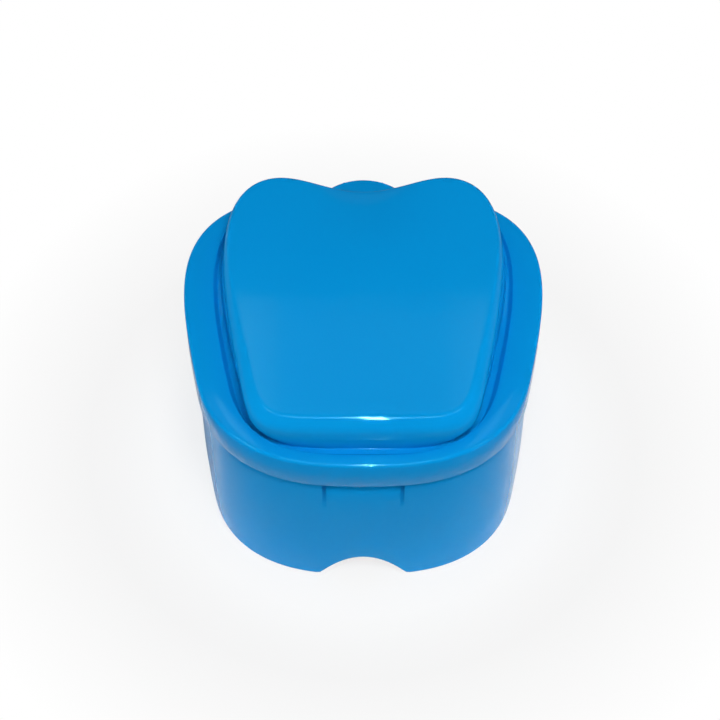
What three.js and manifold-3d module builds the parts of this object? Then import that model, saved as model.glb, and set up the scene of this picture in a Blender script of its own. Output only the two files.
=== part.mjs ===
// Denture soaking box: a cup on two root-like feet, a hinged lid with a tooth-crown panel,
// a lift-out strainer basket and the pin of the hinge.
// Millimetres, +Z up. The origin is on the table under the middle of the box; the front faces -Y.

import * as THREE from "three";
import { mergeVertices } from "three/addons/utils/BufferGeometryUtils.js";
import Module from "manifold-3d";

const wasm = await Module();
wasm.setup();

// Whole box: the lid's brim is the widest outline, and a round tongue reaches out behind it.
const box = {
  width: 95,
  frontReach: 47.4,
  rearReach: 43,
  seatGap: 0.3,
  overrun: 2,
};

// The cup: outer wall, stepped lip that the lid's skirt laps over, raised floor, open base.
const cup = {
  wallInset: 1.7,
  lipInset: 2.9,
  wall: 2.2,
  draft: 0.3,
  seamZ: 45.9,
  floorZ: 12.2,
  floor: 1.8,
  footRound: 0.9,
  cornerRound: 4,
};

// Arch between the two feet, at the front and at the back.
const arch = { halfSpan: 11.5, height: 9, toeRound: 1.2 };

// Shallow finger recess under the front of the lid's skirt.
const recess = { width: 19.5, depth: 1.6, bottomZ: 34.4, behindSkirt: 2, sideWall: 1.6 };

// Ribs inside the cup that carry the basket's rim.
const rib = { width: 1.8, depth: 3.4 };

// The lid: a skirt, a flat brim and the raised panel.
const lid = {
  wall: 1.7,
  skirtZ: 46.5,
  skirtDraft: 0.1,
  brimZ: 55.9,
  brimFall: 0.5,
  edgeRound: 0.8,
  rearNotchMargin: 0.8,
};

// The raised panel: its wall leans from a rounded foot outline to a squarer top outline, both
// given by their margins from the brim. Its top rises gently rearwards, is crowned across and
// dips between two lobes, which would reach past the brim if no dip were drawn in.
const panel = {
  footSideMargin: 12.6,
  footFrontMargin: 4.5,
  footRearExcess: 4.8,
  topSideMargin: 14.8,
  topFrontMargin: 6.4,
  topRearExcess: 2.6,
  footRound: 0.8,
  topRound: 3,
  frontTopZ: 66.7,
  rearTopZ: 70.8,
  crown: 0.7,
  planDip: 12,
  planDipHalfWidth: 41,
  topDip: 3.2,
  topDipHalfWidth: 25,
  topDipStartY: 10,
};

// The tongue behind the brim covers the hinge.
const tongue = { radius: 16, overhang: 4.4, rootInset: 2.6 };

// Hinge: an axis across the back, two ears on the cup, one knuckle under the tongue.
const hinge = {
  axisOut: 1.3,
  axisRise: 0.9,
  pinRadius: 1.25,
  pinEndRound: 0.3,
  boreGap: 0.3,
  earRadius: 2.9,
  earWidth: 3.2,
  earDrop: 11,
  knuckleRadius: 2.6,
  knuckleWidth: 11.2,
  sideGap: 0.5,
};

// The strainer basket hangs by its rim on the ribs.
const basket = {
  rimInset: 5.7,
  wallInset: 8.1,
  wall: 1.6,
  rimZ: 42.5,
  rim: 1.8,
  undersideZ: 17.6,
  floor: 1.6,
  draft: 1.4,
  cornerRound: 5,
  holeRadius: 1.9,
  holePitch: 7.6,
  holeMargin: 3.4,
  slotWidth: 2.6,
  slotLowZ: 24.5,
  slotHighZ: 37.5,
  tabWidth: 18,
  tabTopWidth: 12,
  tabHeight: 8,
  tabRound: 3,
};

// Where the front and rear halves of an outline meet, and how each half is rounded and flared.
const splitShare = -0.38;
const brimFlareShare = 0.137;
const panelFootFlareShare = 0.11;
const panelTopFlareShare = 0.121;
const brimPowers = { front: 2.65, rear: 3 };
const panelFootPowers = { front: 3.15, rear: 2.75 };
const panelTopPowers = { front: 5.2, rear: 2.75 };
const cornerCrowdShare = 0.4;

const segments = 72;
const roundSteps = 3;
const innerRoundSteps = 2;
const boreSides = 16;
const holeSides = 8;
const slotCount = 24;
const halvings = 40;
const ribPlaceShares = [1 / 8, 1 / 4, 3 / 8, 5 / 8, 3 / 4, 7 / 8];
const topRingShares = [0.8, 0.55, 0.28];

const splitY = splitShare * box.frontReach;
const tongueReach = box.rearReach + tongue.overhang;
const axisY = box.rearReach + hinge.axisOut;
const axisZ = lid.skirtZ + hinge.axisRise;
const topHalfWidth = box.width / 2 - panel.topSideMargin;
const topFrontReach = box.frontReach - panel.topFrontMargin;
const brimUndersideZ = lid.brimZ - lid.wall;
const valleyZ = lid.brimZ - lid.brimFall;
const lipZ = valleyZ - lid.wall - box.seatGap;
const ledgeZ = basket.rimZ - basket.rim - box.seatGap;

// Two superellipse halves that meet on the split line. The half width grows steadily rearwards,
// and the rear may be drawn in round the middle, which leaves two lobes.
const brimOutline = {
  splitHalfWidth: box.width / 2,
  frontY: -box.frontReach,
  rearY: box.rearReach,
  flareShare: brimFlareShare,
  powers: brimPowers,
  dip: 0,
  dipHalfWidth: box.width,
};
const panelFootOutline = {
  splitHalfWidth: box.width / 2 - panel.footSideMargin,
  frontY: panel.footFrontMargin - box.frontReach,
  rearY: box.rearReach + panel.footRearExcess,
  flareShare: panelFootFlareShare,
  powers: panelFootPowers,
  dip: panel.planDip,
  dipHalfWidth: panel.planDipHalfWidth,
};
const panelTopOutline = {
  splitHalfWidth: topHalfWidth,
  frontY: -topFrontReach,
  rearY: box.rearReach + panel.topRearExcess,
  flareShare: panelTopFlareShare,
  powers: panelTopPowers,
  dip: panel.planDip,
  dipHalfWidth: panel.planDipHalfWidth,
};

// A smooth hump that is 1 in the middle and 0 from the half width outwards.
function hump(x, halfWidth) {
  return Math.abs(x) < halfWidth ? Math.cos((Math.PI * x) / (2 * halfWidth)) ** 2 : 0;
}

// Below 1 inside an outline, above 1 outside it.
function level(outline, x, y) {
  const frontHalf = splitY - outline.frontY;
  let along = y - splitY;
  if (along > 0) along += outline.dip * hump(x, outline.dipHalfWidth);
  const reach = along < 0 ? frontHalf : outline.rearY - splitY;
  const power = along < 0 ? outline.powers.front : outline.powers.rear;
  const halfWidth = outline.splitHalfWidth * (1 + (outline.flareShare * along) / frontHalf);
  return Math.abs(x / halfWidth) ** power + Math.abs(along / reach) ** power;
}

// The outline as a loop of points, seen from above and counterclockwise from the front middle.
// The points crowd together at the four corners.
function loopOf(outline) {
  return Array.from({ length: segments }, (_, i) => {
    const turn = (2 * Math.PI * i) / segments;
    const angle = turn + (cornerCrowdShare * Math.sin(4 * turn)) / 4 - Math.PI / 2;
    const ray = new THREE.Vector2(Math.cos(angle), Math.sin(angle));
    let inside = 0;
    let outside = box.width;
    for (let step = 0; step < halvings; step++) {
      const middle = (inside + outside) / 2;
      if (level(outline, ray.x * middle, ray.y * middle) < 1) inside = middle;
      else outside = middle;
    }
    return ray.multiplyScalar(inside);
  });
}

// Stretches a loop sideways until it is exactly as wide as asked.
function fitWidth(loop, width) {
  const widest = Math.max(...loop.map((p) => p.x));
  return loop.map((p) => new THREE.Vector2((p.x * width) / (2 * widest), p.y));
}

// Moves a loop inwards by a distance, square to the line between each point's neighbours.
function inset(loop, distance) {
  return loop.map((p, i) => {
    const along = loop[(i + 1) % loop.length].clone().sub(loop.at(i - 1)).normalize();
    return new THREE.Vector2(p.x - along.y * distance, p.y + along.x * distance);
  });
}

// Lifts a loop to a height, which may be a number or a function of the place.
function ring(loop, height) {
  return loop.map((p) => {
    const z = typeof height === "function" ? height(p.x, p.y) : height;
    return new THREE.Vector3(p.x, p.y, z);
  });
}

// The steps of a quarter round: shares of the radius inwards and upwards.
function quarterRound(steps) {
  return Array.from({ length: steps + 1 }, (_, i) => {
    const angle = (Math.PI / 2) * (i / steps);
    return { inShare: 1 - Math.cos(angle), upShare: Math.sin(angle) };
  });
}

function middleOf(points) {
  const sum = points.reduce((total, p) => total.add(p), new THREE.Vector3());
  return sum.divideScalar(points.length);
}

// Skins a stack of rings from the lowest to the highest and closes both ends with a fan.
function loft(rings) {
  const points = [...rings.flat(), middleOf(rings[0]), middleOf(rings.at(-1))];
  const bottom = points.length - 2;
  const top = points.length - 1;
  const lastRing = (rings.length - 1) * segments;
  const faces = [];
  for (let i = 0; i < segments; i++) {
    const next = (i + 1) % segments;
    faces.push(bottom, next, i);
    faces.push(top, lastRing + i, lastRing + next);
    for (let r = 0; r < lastRing; r += segments) {
      faces.push(r + i, r + next, r + segments + next);
      faces.push(r + i, r + segments + next, r + segments + i);
    }
  }
  const geometry = new THREE.BufferGeometry().setFromPoints(points);
  geometry.setIndex(faces);
  return solidOf(geometry);
}

// Turns a closed geometry into a solid that can be joined and cut.
function solidOf(geometry) {
  const bare = geometry.clone();
  bare.deleteAttribute("normal");
  bare.deleteAttribute("uv");
  const merged = mergeVertices(bare);
  return new wasm.Manifold(
    new wasm.Mesh({
      numProp: 3,
      vertProperties: new Float32Array(merged.attributes.position.array),
      triVerts: new Uint32Array(merged.index.array),
    }),
  );
}

function block(low, high) {
  const size = new THREE.Vector3().subVectors(high, low);
  const geometry = new THREE.BoxGeometry(size.x, size.y, size.z);
  const middle = new THREE.Vector3().addVectors(low, high).divideScalar(2);
  return solidOf(geometry.translate(middle.x, middle.y, middle.z));
}

// Extrudes a side view, drawn as (y, z), across the box between two x positions.
function acrossX(shape, lowX, highX) {
  const geometry = new THREE.ExtrudeGeometry(shape, {
    depth: highX - lowX,
    bevelEnabled: false,
    curveSegments: boreSides / 2,
  });
  geometry.applyMatrix4(new THREE.Matrix4().set(0, 0, 1, lowX, 1, 0, 0, 0, 0, 1, 0, 0, 0, 0, 0, 1));
  return solidOf(geometry);
}

// Extrudes a front view, drawn as (x, z), between two y positions.
function alongY(shape, lowY, highY) {
  const geometry = new THREE.ExtrudeGeometry(shape, {
    depth: highY - lowY,
    bevelEnabled: false,
    curveSegments: boreSides / 2,
  });
  geometry.applyMatrix4(
    new THREE.Matrix4().set(1, 0, 0, 0, 0, 0, -1, highY, 0, 1, 0, 0, 0, 0, 0, 1),
  );
  return solidOf(geometry);
}

// A bar of hinge-axis direction and place, used for the bores.
function hingeBar(radius, halfLength) {
  const geometry = new THREE.CylinderGeometry(radius, radius, 2 * halfLength, boreSides);
  geometry.rotateZ(Math.PI / 2).translate(0, axisY, axisZ);
  return solidOf(geometry);
}

// A block square to the wall at a loop point, from one inset to another.
function wallBlock(loop, index, from, to, width, lowZ, highZ) {
  const outer = inset(loop, from)[index];
  const inner = inset(loop, to)[index];
  const middle = outer.clone().add(inner).divideScalar(2);
  const across = inner.clone().sub(outer);
  const geometry = new THREE.BoxGeometry(to - from, width, highZ - lowZ);
  geometry.rotateZ(across.angle()).translate(middle.x, middle.y, (lowZ + highZ) / 2);
  return solidOf(geometry);
}

function meshOf(name, solid, material) {
  const { vertProperties, triVerts, numProp } = solid.getMesh();
  const geometry = new THREE.BufferGeometry();
  geometry.setAttribute("position", new THREE.BufferAttribute(vertProperties, numProp));
  geometry.setIndex(new THREE.BufferAttribute(triVerts, 1));
  const flat = geometry.toNonIndexed();
  flat.computeVertexNormals();
  const mesh = new THREE.Mesh(flat, material);
  mesh.name = name;
  return mesh;
}

const brimLoop = fitWidth(loopOf(brimOutline), box.width);
const panelFootLoop = loopOf(panelFootOutline);
const panelTopLoop = loopOf(panelTopOutline);

// Cup

function cupOutside() {
  const rounding = quarterRound(roundSteps).map(({ inShare, upShare }) => {
    const inwards = cup.footRound * (1 - upShare);
    return ring(inset(brimLoop, cup.wallInset + cup.draft + inwards), cup.footRound * inShare);
  });
  return loft([
    ...rounding,
    ring(inset(brimLoop, cup.wallInset), cup.seamZ),
    ring(inset(brimLoop, cup.lipInset), cup.seamZ),
    ring(inset(brimLoop, cup.lipInset), lipZ),
  ]);
}

function cupInside() {
  const wallInset = cup.wallInset + cup.wall;
  const corner = quarterRound(roundSteps).map(({ inShare, upShare }) => {
    const inwards = cup.draft + cup.cornerRound * (1 - upShare);
    return ring(inset(brimLoop, wallInset + inwards), cup.floorZ + cup.cornerRound * inShare);
  });
  return loft([...corner, ring(inset(brimLoop, wallInset), lipZ + box.overrun)]);
}

function cupBase() {
  const loop = inset(brimLoop, cup.wallInset + cup.wall + cup.draft);
  return loft([ring(loop, -box.overrun), ring(loop, cup.floorZ - cup.floor)]);
}

// The arch is a parabola whose toes are eased into the feet.
function archCut() {
  const toe = arch.halfSpan + arch.toeRound;
  const easeX = arch.halfSpan - arch.toeRound / 2;
  const easeZ = arch.height * (1 - (easeX / arch.halfSpan) ** 2);
  const controlZ = arch.height + (arch.height - easeZ);
  const shape = new THREE.Shape();
  shape.moveTo(-toe, -box.overrun);
  shape.lineTo(toe, -box.overrun);
  shape.lineTo(toe, 0);
  shape.quadraticCurveTo(arch.halfSpan, 0, easeX, easeZ);
  shape.quadraticCurveTo(0, controlZ, -easeX, easeZ);
  shape.quadraticCurveTo(-arch.halfSpan, 0, -toe, 0);
  return alongY(shape, -box.frontReach, box.rearReach);
}

// The wall is doubled inwards behind the finger recess, with a sloped lower end.
function recessBacking() {
  const wallY = cup.wallInset - box.frontReach;
  const rootY = (cup.lipInset + cup.wallInset + cup.wall) / 2 - box.frontReach;
  const innerY = wallY + recess.depth + recess.sideWall;
  const topZ = cup.seamZ + recess.behindSkirt + recess.sideWall;
  const shape = new THREE.Shape();
  shape.moveTo(rootY, recess.bottomZ);
  shape.lineTo(innerY, recess.bottomZ + (innerY - wallY));
  shape.lineTo(innerY, topZ);
  shape.lineTo(rootY, topZ + (innerY - rootY) / 2);
  const halfWidth = recess.width / 2 + recess.sideWall;
  return acrossX(shape, -halfWidth, halfWidth);
}

function recessCut() {
  const wallY = cup.wallInset - box.frontReach;
  const topZ = cup.seamZ + recess.behindSkirt;
  const shape = new THREE.Shape();
  shape.moveTo(wallY - box.overrun, recess.bottomZ);
  shape.lineTo(wallY, recess.bottomZ);
  shape.quadraticCurveTo(
    wallY + recess.depth,
    (recess.bottomZ + cup.seamZ) / 2,
    wallY + recess.depth,
    topZ,
  );
  shape.lineTo(wallY - box.overrun, topZ);
  return acrossX(shape, -recess.width / 2, recess.width / 2);
}

// An ear is a round eye on a gusset that runs down the back wall.
function hingeEar(side) {
  const wallY = box.rearReach - cup.wallInset - cup.wall / 2;
  const radius = hinge.earRadius;
  const shape = new THREE.Shape();
  shape.moveTo(wallY, axisZ + radius);
  shape.lineTo(wallY, axisZ - hinge.earDrop);
  const eyeAngle = -Math.PI / 5;
  shape.lineTo(axisY + radius * Math.cos(eyeAngle), axisZ + radius * Math.sin(eyeAngle));
  shape.absarc(axisY, axisZ, radius, eyeAngle, Math.PI / 2, false);
  const nearX = hinge.knuckleWidth / 2 + hinge.sideGap;
  const farX = nearX + hinge.earWidth;
  return side > 0 ? acrossX(shape, nearX, farX) : acrossX(shape, -farX, -nearX);
}

function makeCup() {
  let solid = cupOutside().subtract(cupInside()).subtract(cupBase()).subtract(archCut());
  const wallInset = cup.wallInset + cup.wall;
  for (const share of ribPlaceShares) {
    const from = wallInset - cup.wall / 2;
    const lowZ = cup.floorZ - cup.floor / 2;
    const to = wallInset + rib.depth;
    const index = Math.round(share * segments);
    solid = solid.add(wallBlock(brimLoop, index, from, to, rib.width, lowZ, ledgeZ));
  }
  solid = solid.add(recessBacking()).subtract(recessCut());
  solid = solid.add(hingeEar(-1)).add(hingeEar(1));
  return solid.subtract(hingeBar(hinge.pinRadius + hinge.boreGap, box.width / 4));
}

// Lid

// Height of the panel's top: it rises rearwards, is crowned across and dips between the lobes.
function panelTop(x, y) {
  const rise = (y + topFrontReach) / (topFrontReach + box.rearReach);
  const crownShare = 1 - (x / topHalfWidth) ** 2;
  const dipRun = (y - panel.topDipStartY) / (box.rearReach - panel.topDipStartY);
  const dipShare = THREE.MathUtils.smoothstep(dipRun, 0, 1) * hump(x, panel.topDipHalfWidth);
  return (
    panel.frontTopZ +
    (panel.rearTopZ - panel.frontTopZ) * rise +
    panel.crown * crownShare -
    panel.topDip * dipShare
  );
}

// The lid's outer form, or with a skin thickness the form of its inside.
function lidForm(skin) {
  const skirt = lid.skirtZ - (skin > 0 ? box.overrun : 0);
  const edge = lid.edgeRound;
  const quarter = quarterRound(skin > 0 ? innerRoundSteps : roundSteps);
  const brimEdge = quarter.map(({ inShare, upShare }) =>
    ring(inset(brimLoop, skin + edge * inShare), lid.brimZ - skin - edge * (1 - upShare)),
  );
  const foot = inset(panelFootLoop, skin);
  const footRound = quarter.map(({ inShare, upShare }) =>
    ring(
      inset(foot, -panel.footRound * (1 - upShare)),
      valleyZ - skin + panel.footRound * inShare,
    ),
  );
  const topEdge = quarter.map(({ inShare, upShare }) =>
    ring(
      inset(panelTopLoop, skin + panel.topRound * inShare),
      (x, y) => panelTop(x, y) - skin - panel.topRound * (1 - upShare),
    ),
  );
  const rimLoop = inset(panelTopLoop, skin + panel.topRound);
  const topRings = topRingShares.map((reachShare) =>
    ring(
      rimLoop.map((p) => p.clone().multiplyScalar(reachShare)),
      (x, y) => panelTop(x, y) - skin,
    ),
  );
  return loft([
    ring(inset(brimLoop, skin + lid.skirtDraft), skirt),
    ...brimEdge,
    ...footRound,
    ...topEdge,
    ...topRings,
  ]);
}

// A round plate that reaches out behind the brim, rooted in the brim's rear edge.
function tonguePlate() {
  const middleY = tongueReach - tongue.radius;
  const rootY = box.rearReach - tongue.rootInset;
  const start = Math.asin((rootY - middleY) / tongue.radius);
  const shape = new THREE.Shape();
  shape.absarc(0, middleY, tongue.radius, start, Math.PI - start, false);
  const geometry = new THREE.ExtrudeGeometry(shape, {
    depth: lid.wall,
    bevelEnabled: false,
    curveSegments: boreSides,
  });
  return solidOf(geometry.translate(0, 0, brimUndersideZ));
}

// The knuckle hangs from the tongue's underside and wraps the pin.
function knuckle() {
  const radius = hinge.knuckleRadius;
  const topZ = brimUndersideZ + lid.wall / 2;
  const shape = new THREE.Shape();
  shape.moveTo(axisY - radius, topZ);
  shape.lineTo(axisY - radius, axisZ);
  shape.absarc(axisY, axisZ, radius, Math.PI, 2 * Math.PI, false);
  shape.lineTo(axisY + radius, topZ);
  return acrossX(shape, -hinge.knuckleWidth / 2, hinge.knuckleWidth / 2);
}

function makeLid() {
  const earOutside = hinge.knuckleWidth / 2 + hinge.sideGap + hinge.earWidth;
  const notchHalf = earOutside + lid.rearNotchMargin;
  const notchFrontY = box.rearReach - cup.lipInset;
  const notch = block(
    new THREE.Vector3(-notchHalf, notchFrontY, lid.skirtZ - box.overrun),
    new THREE.Vector3(notchHalf, box.rearReach + box.overrun, brimUndersideZ),
  );
  return lidForm(0)
    .subtract(lidForm(lid.wall))
    .subtract(notch)
    .add(tonguePlate())
    .add(knuckle())
    .subtract(hingeBar(hinge.pinRadius + hinge.boreGap, hinge.knuckleWidth));
}

// Hinge pin: a round bar with eased ends, flush with the outer faces of the ears.

function makePin() {
  const halfLength = hinge.knuckleWidth / 2 + hinge.sideGap + hinge.earWidth;
  const { pinRadius: radius, pinEndRound: ease } = hinge;
  const profile = [
    new THREE.Vector2(0, -halfLength),
    new THREE.Vector2(radius - ease, -halfLength),
    new THREE.Vector2(radius, -halfLength + ease),
    new THREE.Vector2(radius, halfLength - ease),
    new THREE.Vector2(radius - ease, halfLength),
    new THREE.Vector2(0, halfLength),
  ];
  const geometry = new THREE.LatheGeometry(profile, boreSides);
  geometry.rotateZ(Math.PI / 2).translate(0, axisY, axisZ);
  return solidOf(geometry);
}

// Basket

function basketForm(skin, topZ) {
  const lowZ = basket.undersideZ + (skin > 0 ? basket.floor : 0);
  const round = basket.cornerRound - skin;
  const corner = quarterRound(skin > 0 ? innerRoundSteps : roundSteps).map(({ inShare, upShare }) => {
    const inwards = basket.draft + round * (1 - upShare);
    const loop = inset(brimLoop, basket.wallInset + skin + inwards);
    return ring(loop, lowZ + round * inShare);
  });
  return [...corner, ring(inset(brimLoop, basket.wallInset + skin), topZ)];
}

function basketOutside() {
  const rimUndersideZ = basket.rimZ - basket.rim;
  return loft([
    ...basketForm(0, rimUndersideZ),
    ring(inset(brimLoop, basket.rimInset), rimUndersideZ),
    ring(inset(brimLoop, basket.rimInset), basket.rimZ),
  ]);
}

// Round drain holes on a square grid, wherever a whole hole fits inside the flat of the floor.
function floorHoles() {
  const inwards = basket.wallInset + basket.draft + basket.cornerRound + basket.holeRadius;
  const flat = inset(brimLoop, inwards);
  const reach = Math.ceil(box.width / 2 / basket.holePitch);
  const holes = [];
  for (let row = -reach; row <= reach; row++) {
    for (let column = -reach; column <= reach; column++) {
      const place = new THREE.Vector2(column, row).multiplyScalar(basket.holePitch);
      const turn = place.angle() + Math.PI / 2;
      const spot = Math.round((turn / (2 * Math.PI)) * segments) % segments;
      if (place.length() + basket.holeMargin > flat[spot].length() + basket.holeRadius) continue;
      const depth = basket.floor + 2 * box.overrun;
      const { holeRadius } = basket;
      const hole = new THREE.CylinderGeometry(holeRadius, holeRadius, depth, holeSides);
      hole.rotateX(Math.PI / 2).translate(place.x, place.y, basket.undersideZ);
      holes.push(solidOf(hole));
    }
  }
  return holes;
}

// Upright slots all round the wall.
function wallSlots() {
  return Array.from({ length: slotCount }, (_, i) => {
    const index = Math.round(((i + 0.5) / slotCount) * segments) % segments;
    const from = basket.wallInset - box.overrun;
    const to = basket.wallInset + basket.wall + basket.draft + box.overrun;
    const { slotWidth, slotLowZ, slotHighZ } = basket;
    return wallBlock(brimLoop, index, from, to, slotWidth, slotLowZ, slotHighZ);
  });
}

// Two upright finger tabs lift the basket out, one on each side of the rim.
function fingerTab(side) {
  const rimMiddle = (basket.rimInset + basket.wallInset + basket.wall) / 2;
  const place = inset(brimLoop, rimMiddle)[segments / 4];
  const foot = basket.tabWidth / 2;
  const head = basket.tabTopWidth / 2;
  const topZ = basket.rimZ + basket.tabHeight;
  const shape = new THREE.Shape();
  shape.moveTo(place.y - foot, basket.rimZ - basket.rim / 2);
  shape.lineTo(place.y + foot, basket.rimZ - basket.rim / 2);
  shape.lineTo(place.y + head, topZ - basket.tabRound);
  shape.quadraticCurveTo(place.y + head, topZ, place.y + head - basket.tabRound, topZ);
  shape.lineTo(place.y - head + basket.tabRound, topZ);
  shape.quadraticCurveTo(place.y - head, topZ, place.y - head, topZ - basket.tabRound);
  const x = side * place.x;
  return acrossX(shape, x - basket.wall / 2, x + basket.wall / 2);
}

function makeBasket() {
  const inside = loft(basketForm(basket.wall, basket.rimZ + box.overrun));
  let solid = basketOutside().subtract(inside);
  for (const cutter of [...floorHoles(), ...wallSlots()]) solid = solid.subtract(cutter);
  return solid.add(fingerTab(-1)).add(fingerTab(1));
}

// Assembly

const bluePlastic = new THREE.MeshStandardMaterial({
  color: 0x0f8fd3,
  roughness: 0.18,
  metalness: 0,
});
const basketPlastic = new THREE.MeshStandardMaterial({
  color: 0x2c9fdc,
  roughness: 0.35,
  metalness: 0,
});
const pinSteel = new THREE.MeshStandardMaterial({
  color: 0xb8bcc0,
  roughness: 0.35,
  metalness: 1,
});

const dentureBox = new THREE.Group();
dentureBox.add(meshOf("body_shell", makeCup(), bluePlastic));
dentureBox.add(meshOf("lid", makeLid(), bluePlastic.clone()));
dentureBox.add(meshOf("strainer_basket", makeBasket(), basketPlastic));
dentureBox.add(meshOf("hinge_pin", makePin(), pinSteel));

export default dentureBox;
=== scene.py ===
# Denture box in glossy blue plastic: smooth moulded shells, a strainer basket and a drawn pin
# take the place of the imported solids, on a pale studio floor.
# Sizes of the box are millimetres; a finished mesh is scaled to metres at the end.
# Distances in the looks and in the studio are metres.

import math
import bpy
import bmesh
from mathutils import Matrix, Vector


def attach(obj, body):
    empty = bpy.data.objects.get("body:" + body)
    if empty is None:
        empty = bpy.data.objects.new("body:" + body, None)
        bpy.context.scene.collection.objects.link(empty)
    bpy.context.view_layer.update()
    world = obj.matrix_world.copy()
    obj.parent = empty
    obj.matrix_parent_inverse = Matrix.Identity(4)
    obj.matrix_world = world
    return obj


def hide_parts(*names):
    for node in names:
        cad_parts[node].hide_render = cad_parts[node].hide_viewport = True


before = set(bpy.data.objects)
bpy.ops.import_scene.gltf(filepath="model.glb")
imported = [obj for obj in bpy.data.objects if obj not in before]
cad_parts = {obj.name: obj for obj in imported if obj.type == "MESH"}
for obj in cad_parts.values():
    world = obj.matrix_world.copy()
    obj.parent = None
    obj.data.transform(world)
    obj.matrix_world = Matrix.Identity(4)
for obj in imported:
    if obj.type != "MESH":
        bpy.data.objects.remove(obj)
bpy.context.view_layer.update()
print("frame loaded:", ", ".join(sorted(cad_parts)))

mm = 0.001
overrun = 1.0            # a cut reaches past the surface it opens by one or two of these
tiny = 0.01              # a shorter length counts as none
easeSteps = 2            # segments of a small edge easing
roundSteps = 5           # segments of a slot's rounded end
smoothAngle = 38         # an edge that turns by more degrees than this stays sharp


# Outlines

boxWidth = 95.0
loopPoints = 288         # a multiple of 8, so that ribs and tabs fall on a point
searchSteps = 40         # halvings in the search for each point of an outline
cornerCrowd = 0.4        # how strongly the points of a loop crowd at its four corners
splitY = -18.012         # the front and rear halves of every outline meet on this line
poleShare = 0.02         # the ring that closes on a pole, as a share of the flat's loop

brimOutline = {
    "halfWidth": 47.5, "front": -47.4, "rear": 43.0, "flare": 0.137,
    "frontPower": 2.65, "rearPower": 3.0, "dip": 0.0, "dipHalf": 95.0,
}
ridgeOutline = {
    "halfWidth": 35.5, "front": -44.0, "rear": 47.0, "flare": 0.145,
    "frontPower": 3.05, "rearPower": 2.75, "dip": 11.6, "dipHalf": 41.0,
}
footOutline = {
    "halfWidth": 32.4, "front": -40.9, "rear": 44.1, "flare": 0.16,
    "frontPower": 3.9, "rearPower": 3.05, "dip": 9.9, "dipHalf": 41.0,
}
edgeOutline = {
    "halfWidth": 32.6, "front": -42.6, "rear": 43.8, "flare": 0.134,
    "frontPower": 5.8, "rearPower": 3.1, "dip": 9.6, "dipHalf": 41.0,
}
creaseOutline = {
    "halfWidth": 30.3, "front": -40.1, "rear": 42.1, "flare": 0.155,
    "frontPower": 6.0, "rearPower": 3.1, "dip": 9.6, "dipHalf": 41.0,
}


def hump(x, half):
    # 1 in the middle, 0 from the half width outwards
    return math.cos(math.pi * x / (2 * half)) ** 2 if abs(x) < half else 0.0


def softStep(value, start, run):
    # 0 up to the start, 1 from a run further on, smooth in between
    t = min(max((value - start) / run, 0), 1)
    return t * t * (3 - 2 * t)


def outlineLevel(outline, x, y):
    # below 1 inside the outline, above 1 outside it
    frontHalf = splitY - outline["front"]
    along = y - splitY
    if along > 0:
        along += outline["dip"] * hump(x, outline["dipHalf"])
    reach = frontHalf if along < 0 else outline["rear"] - splitY
    power = outline["frontPower"] if along < 0 else outline["rearPower"]
    half = outline["halfWidth"] * (1 + outline["flare"] * along / frontHalf)
    return abs(x / half) ** power + abs(along / reach) ** power


def outlineLoop(outline, width=None):
    # points from the front middle, counterclockwise seen from above
    loop = []
    for i in range(loopPoints):
        turn = 2 * math.pi * i / loopPoints
        angle = turn + cornerCrowd * math.sin(4 * turn) / 4 - math.pi / 2
        ray = Vector((math.cos(angle), math.sin(angle)))
        inside, outside = 0.0, boxWidth
        for _ in range(searchSteps):
            middle = (inside + outside) / 2
            if outlineLevel(outline, ray.x * middle, ray.y * middle) < 1:
                inside = middle
            else:
                outside = middle
        loop.append(ray * inside)
    if width:
        stretch = width / (2 * max(p.x for p in loop))
        loop = [Vector((p.x * stretch, p.y)) for p in loop]
    return loop


def inset(loop, distance):
    # moves every point inwards, square to the line between its neighbours
    moved = []
    for i, p in enumerate(loop):
        along = (loop[(i + 1) % len(loop)] - loop[i - 1]).normalized()
        moved.append(Vector((p.x - along.y * distance, p.y + along.x * distance)))
    return moved


def between(first, second, share):
    # a loop that lies a share of the way from the first to the second
    return [a.lerp(b, share) for a, b in zip(first, second)]


def shrink(loop, share):
    return [p * share for p in loop]


brimLoop = outlineLoop(brimOutline, width=boxWidth)
ridgeLoop = outlineLoop(ridgeOutline)
footLoop = outlineLoop(footOutline)
edgeLoop = outlineLoop(edgeOutline)
creaseLoop = outlineLoop(creaseOutline)


# Mesh helpers

def placeRing(ring, loop, height):
    for vert, p in zip(ring, loop):
        vert.co = (p.x, p.y, height(p.x, p.y) if callable(height) else height)


def ringEdges(bm, ring):
    return [bm.edges.get((a, b)) for a, b in zip(ring, ring[1:] + ring[:1])]


def pullRing(bm, ring):
    # extrudes a ring and returns the new one, in the same order
    made = bmesh.ops.extrude_edge_only(bm, edges=ringEdges(bm, ring))["geom"]
    fresh = {g for g in made if isinstance(g, bmesh.types.BMVert)}
    return [next(e.other_vert(v) for e in v.link_edges if e.other_vert(v) in fresh) for v in ring]


def loftRings(bm, stations):
    # stations are (name, loop, height); the skin closes on a pole at both ends
    rings = {}
    ring = bmesh.ops.create_circle(bm, cap_ends=False, segments=loopPoints, radius=1)["verts"]
    for name, loop, height in stations:
        if rings:
            ring = pullRing(bm, ring)
        placeRing(ring, loop, height)
        rings[name] = ring
    for name in (stations[0][0], stations[-1][0]):
        pole = rings.pop(name)
        middle = sum((v.co for v in pole), Vector()) / len(pole)
        bmesh.ops.pointmerge(bm, verts=pole, merge_co=middle)
    return rings


def roundEdges(bm, edges, radius, steps):
    bmesh.ops.bevel(bm, geom=edges, offset=radius, offset_type="OFFSET", segments=steps,
                    profile=0.5, affect="EDGES", clamp_overlap=False, material=-1)


def roundRings(bm, rings, rounds):
    # rounds are (ring name, radius, segments)
    for name, radius, steps in rounds:
        roundEdges(bm, ringEdges(bm, rings[name]), radius, steps)


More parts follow.
